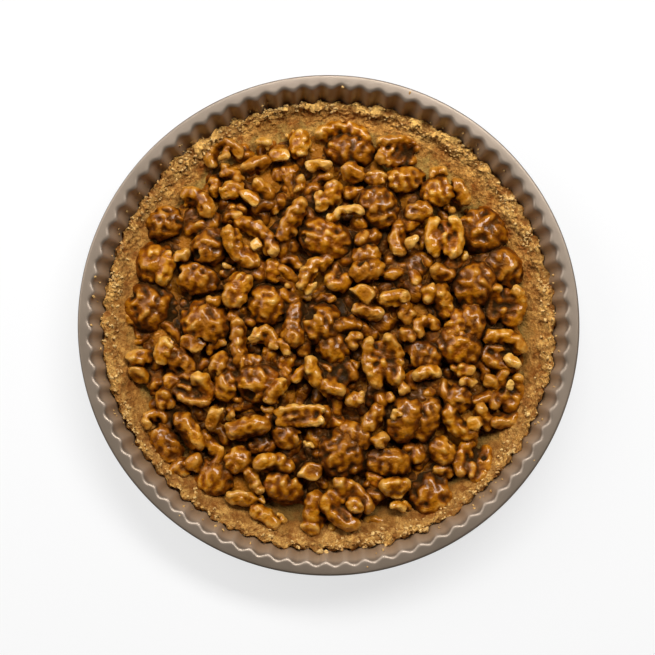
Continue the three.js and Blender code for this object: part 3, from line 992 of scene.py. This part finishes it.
nut, shader, surface = new_material(
    "caramelised_walnut",
    Specular_IOR_Level=0.42,
    Specular_Tint=(1.0, 0.6, 0.2, 1.0),
    Coat_Roughness=0.05,
    Coat_Tint=(1.0, 0.97, 0.9, 1.0),
)
place = shader.place()
# the colour runs from near black at low relief to gold at high relief: the creases' own darker brown, and
# painted shade in creases, deep in the heap and where the walnuts crowd
relief = shader.span(shader.attribute("relief"), -0.7, 0.7)
shade = shader.attribute("shade")
mottle = shader.noise(place, 150.0, 3.0)
speck = shader.noise(place, 900.0, 3.0)
height = shader.math("ADD", relief, shader.math("MULTIPLY", shader.math("SUBTRACT", mottle, 0.5), 0.5))
heights = (0, 0.35, 0.62, 1)
dark_tones = (srgb(18, 4, 0), srgb(72, 28, 0), srgb(140, 78, 4), srgb(180, 124, 44))
light_tones = (srgb(32, 9, 0), srgb(128, 62, 0), srgb(180, 114, 12), srgb(214, 168, 86))
dark = shader.ramp(height, list(zip(heights, dark_tones)))
light = shader.ramp(height, list(zip(heights, light_tones)))
blotches = shader.span(shader.noise(place, 60.0, 2.0), 0.35, 0.65, -0.4, 0.4)
shade = shader.math("ADD", shade, blotches)
kernel = shader.mix(shade, dark, light)
glaze = shader.span(shader.attribute("glaze"), 0.05, 0.5, 0.0, 0.8)
syrup = shader.mix(shade, srgb(108, 54, 2), srgb(170, 106, 22))
shader.feed(surface["Base Color"], shader.mix(glaze, kernel, syrup))
dull = shader.span(relief, 0.05, 0.35, 0.8, 0.3)
shader.feed(surface["Roughness"], shader.math("MAXIMUM", dull, shader.span(mottle, 0.3, 0.7, 0.34, 0.52)))
shader.feed(surface["Coat Weight"], shader.span(relief, 0.25, 0.65, 0.02, 0.6))
pimples = shader.noise(place, 400.0, 3.0, 0.5)
wrinkle = shader.math("ABSOLUTE", shader.math("SUBTRACT", shader.noise(place, 280.0, 2.0), 0.5))
skin = shader.math("ADD", shader.math("MULTIPLY", pimples, 0.6), shader.math("MULTIPLY", speck, 0.25))
skin = shader.math("ADD", skin, shader.math("MULTIPLY", wrinkle, 1.6))
shader.feed(surface["Normal"], shader.bump(skin, 0.0013, 0.7))

for kind, name in PIECE_NAMES.items():
    group = [walnut for walnut in heap if walnut.kind is kind]
    piece = joined(name, group, nut, KEPT_OF_WALNUTS)
    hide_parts("walnut_heap")

# ------------------------------------------------------------------------------ the caramel
# Cooked sugar, butter and cream that ran down between the walnuts. It fills the narrow spaces
# where they touch and lies in a dark glossy pool on the crust under them, painted darker
# still where the walnuts crowd round it.

CARAMEL_LEVEL = 10.0
CARAMEL_SUNK = 0.6  # how far it reaches into the crust's floor
CARAMEL_WALL_MARGIN = 2.2
KEPT_OF_CARAMEL = 0.165


def drop_flat_bits(piece):
    """Takes away drops so small that thinning left only faces that lie back to back."""
    piece.data.validate()
    mesh = bmesh.new()
    mesh.from_mesh(piece.data)
    stray = [face for face in mesh.faces if any(edge.is_boundary for edge in face.edges)]
    bmesh.ops.delete(mesh, geom=stray, context="FACES")
    mesh.to_mesh(piece.data)
    mesh.free()


x, y, z = np.meshgrid(*heap_axes, indexing="ij", sparse=True)
wobble = waves([x, y, 0 * x], np.random.default_rng(3), 19.0)
angle = np.arctan2(y, x)
level = CARAMEL_LEVEL + 1.3 * wobble - 0.8 * np.maximum(0, np.hypot(x, y) - heap_reach(angle) + 9)
nearness += np.exp(-np.clip(z - level, -3 * MENISCUS, 9 * MENISCUS) / MENISCUS)
under_floor = FLOOR_TOP - CARAMEL_SUNK - z
past_wall = np.hypot(x, y) - tin_wall(z) + CARAMEL_WALL_MARGIN
field = np.maximum(np.maximum(-MENISCUS * np.log(nearness), under_floor), past_wall)
field = np.pad(field, 1, constant_values=FAR)
points, faces = surface_of(field, -0.35)

caramel_material, shader, surface = new_material(
    "caramel", Roughness=0.28, Specular_IOR_Level=0.38, Specular_Tint=(1.0, 0.6, 0.25, 1.0)
)
place = shader.place()
clouds = shader.noise(place, 120.0, 3.0)
# painted shade: the caramel is darker where the walnuts crowd round it; the clouds vary its tone at random
depth = shader.math("MULTIPLY", shader.math("SUBTRACT", 0.66, shader.attribute("crowding")), 1.6)
tone_and_painted_shade = shader.math("ADD", clouds, depth)
tones = [(0.3, srgb(40, 16, 1)), (0.55, srgb(92, 48, 4)), (0.75, srgb(150, 90, 18))]
shader.feed(surface["Base Color"], shader.ramp(tone_and_painted_shade, tones))
shader.feed(surface["Normal"], shader.bump(shader.noise(place, 650.0, 4.0), 0.0014, 0.8))
caramel = mesh_object("caramel", (points - 1) * HEAP_GRID + heap_low, faces, caramel_material)
layer = caramel.data.attributes.new("crowding", "FLOAT", "POINT")
layer.data.foreach_set("value", sampled(crowding, points - 1).astype(np.float32))
keep_share(caramel, KEPT_OF_CARAMEL)
drop_flat_bits(caramel)
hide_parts("walnut_heap")

# -------------------------------------------------------------------------------- the crumbs
# Bits of the crust's crumbled edge: most still lie on the edge, some fell into the gap before
# the tin's wall or onto its rim. Each is a small rough lump.

HIGHEST_CRUMB = 32.8
FALLEN_CRUMBS = (  # direction in degrees, radius, height and size of the larger ones
    (70.6, 147.2, 31.9, 0.7), (86.6, 142.6, 31.6, 0.7), (168.8, 142.2, 31.4, 0.7),
    (173.5, 141.6, 31.2, 0.9), (180.5, 141.8, 31.2, 0.8), (232.3, 144.6, 32.0, 0.5),
    (279.1, 146.6, 31.9, 0.6), (326.2, 147.0, 32.0, 0.5), (268.0, 136.4, 20.2, 1.9),
    (269.5, 137.0, 20.0, 1.4), (295.2, 136.6, 20.4, 1.8), (293.9, 135.6, 20.6, 1.2),
    (8.9, 132.0, 19.8, 1.3), (311.0, 138.6, 23.0, 1.2), (314.0, 139.4, 25.0, 0.8),
    (243.0, 138.6, 23.0, 0.7),
)
chooser = np.random.default_rng(21)


def crumb_shape(detail):
    mesh = bmesh.new()
    bmesh.ops.create_icosphere(mesh, subdivisions=detail, radius=1.0)
    mesh.verts.ensure_lookup_table()
    points = np.array([v.co for v in mesh.verts])
    faces = np.array([[v.index for v in f.verts] for f in mesh.faces])
    mesh.free()
    return points, faces


sphere, sphere_faces = crumb_shape(2)
crest = np.flatnonzero((height_share > 0.72) & (inside > 0) & (radii > 128))
crest_angles = np.arctan2(crust_points[crest, 1], crust_points[crest, 0])
picked = [chooser.choice(crest, 260)]
for _ in range(64):
    near = crest[np.cos(crest_angles - chooser.uniform(0, TURN)) > math.cos(0.03)]
    picked.append(chooser.choice(near, chooser.integers(4, 11)))
picked = np.concatenate(picked)
spots = crust_points[picked] + (0, 0, 0.2)
sizes = 0.4 + 0.8 * chooser.random(len(picked)) ** 2
edge_spots = []
for angle, radius, height, size in FALLEN_CRUMBS:
    turned_by = math.radians(angle)
    edge_spots.append((radius * math.cos(turned_by), radius * math.sin(turned_by), height, size))
for _ in range(60):
    turned_by, height = chooser.uniform(0, TURN), chooser.uniform(18.5, 27.5)
    radius = tin_wall(height) + FLUTE_DEPTH * flute_shape(turned_by) - 0.5
    size = chooser.uniform(0.3, 0.7)
    edge_spots.append((radius * math.cos(turned_by), radius * math.sin(turned_by), height, size))
edge_spots = np.array(edge_spots)
spots, sizes = np.vstack([spots, edge_spots[:, :3]]), np.concatenate([sizes, edge_spots[:, 3]])
points, faces = [], []
for number, (spot, size) in enumerate(zip(spots, sizes)):
    stretch = chooser.uniform(0.65, 1.2, 3) * size
    lumps = 1 + 0.3 * waves(sphere.T, chooser, 1.7, 9)[:, None]
    turned_by, axis = chooser.uniform(0, TURN), Vector(chooser.normal(size=3)).normalized()
    turn = np.array(Matrix.Rotation(turned_by, 3, axis))
    lump_points = (sphere * lumps * stretch) @ turn.T + spot
    lump_points[:, 2] = np.minimum(lump_points[:, 2], HIGHEST_CRUMB)
    points.append(lump_points)
    faces.append(sphere_faces + number * len(sphere))

crumb_material, shader, surface = new_material("crumb", Roughness=0.9)
place = shader.place()
grains = dough_node(shader, place, srgb(172, 126, 62), srgb(236, 198, 126), srgb(166, 106, 44), 0.5)
shader.feed(surface["Base Color"], grains["Color"])
shader.feed(surface["Normal"], shader.bump(grains["Relief"], 0.0006, 0.7))
crumb_piece = mesh_object("crumbs", np.concatenate(points), [np.concatenate(faces)], crumb_material)
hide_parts("crust")

# ------------------------------------------------------------------------------- the studio
# Stands in for a kitchen: a table top that looks white, the light it would bounce up, a little
# light from above, a long window beyond the tart's far side and a weaker one at -X.

floor_material, shader, surface = new_material("studio_floor", Roughness=0.8, Emission_Strength=0.72)
shader.feed(surface["Base Color"], (0.2, 0.2, 0.2, 1.0))
shader.feed(surface["Emission Color"], (1.0, 1.0, 1.0, 1.0))
mesh = bpy.data.meshes.new("studio_floor")
corners = [(x * 20, y * 20, -0.0002) for x, y in ((-1, -1), (1, -1), (1, 1), (-1, 1))]
mesh.from_pydata(corners, [], [(0, 1, 2, 3)])
mesh.materials.append(floor_material)
table_top = bpy.data.objects.new("studio_floor", mesh)
bpy.context.scene.collection.objects.link(table_top)
table_top.visible_diffuse = False
table_top.visible_glossy = False

world = bpy.data.worlds.new("studio_light")
world.use_nodes = True
shader = Shader(world.node_tree)
sky = shader.add("ShaderNodeSeparateXYZ", {0: shader.add("ShaderNodeTexCoord").outputs["Generated"]}).outputs
rays = shader.add("ShaderNodeLightPath").outputs
around = shader.span(sky["Z"], -0.1, 0.0, 0.35, 0.0127)
lighting = shader.math("MULTIPLY", around, shader.span(rays["Is Glossy Ray"], 0, 1, 1, 0.4))
seen = shader.math("MULTIPLY", rays["Is Camera Ray"], 0.86)
shader.feed(world.node_tree.nodes["Background"].inputs["Color"], (1.0, 1.0, 1.0, 1.0))
shader.feed(world.node_tree.nodes["Background"].inputs["Strength"], shader.math("MAXIMUM", lighting, seen))
bpy.context.scene.world = world


def lamp(name, place, power, width, height):
    light = bpy.data.lights.new(name, "AREA")
    light.energy = power
    light.shape = "RECTANGLE"
    light.size = width
    light.size_y = height
    holder = bpy.data.objects.new(name, light)
    holder.location = place
    holder.rotation_euler = (Vector((0, 0, 0.02)) - holder.location).to_track_quat("-Z", "Y").to_euler()
    bpy.context.scene.collection.objects.link(holder)


lamp("window", (0.30, 0.80, 1.20), 29.5, 1.5, 0.36)
lamp("side_window", (-1.0, 0.55, 0.85), 11.5, 1.0, 1.0)

TILT = math.radians(3.5)
FRAME_WIDTH = 0.3910
view = bpy.data.cameras.new("camera")
view.sensor_width = 36.0
view.lens = 36.0 / FRAME_WIDTH
target = Vector((-0.00066, -0.0027, 0.032))
camera = bpy.data.objects.new("camera", view)
camera.location = target + Vector((0, -math.sin(TILT), math.cos(TILT)))
camera.rotation_euler = (TILT, 0, 0)
bpy.context.scene.collection.objects.link(camera)
bpy.context.scene.camera = camera
bpy.context.scene.view_settings.view_transform = "Standard"
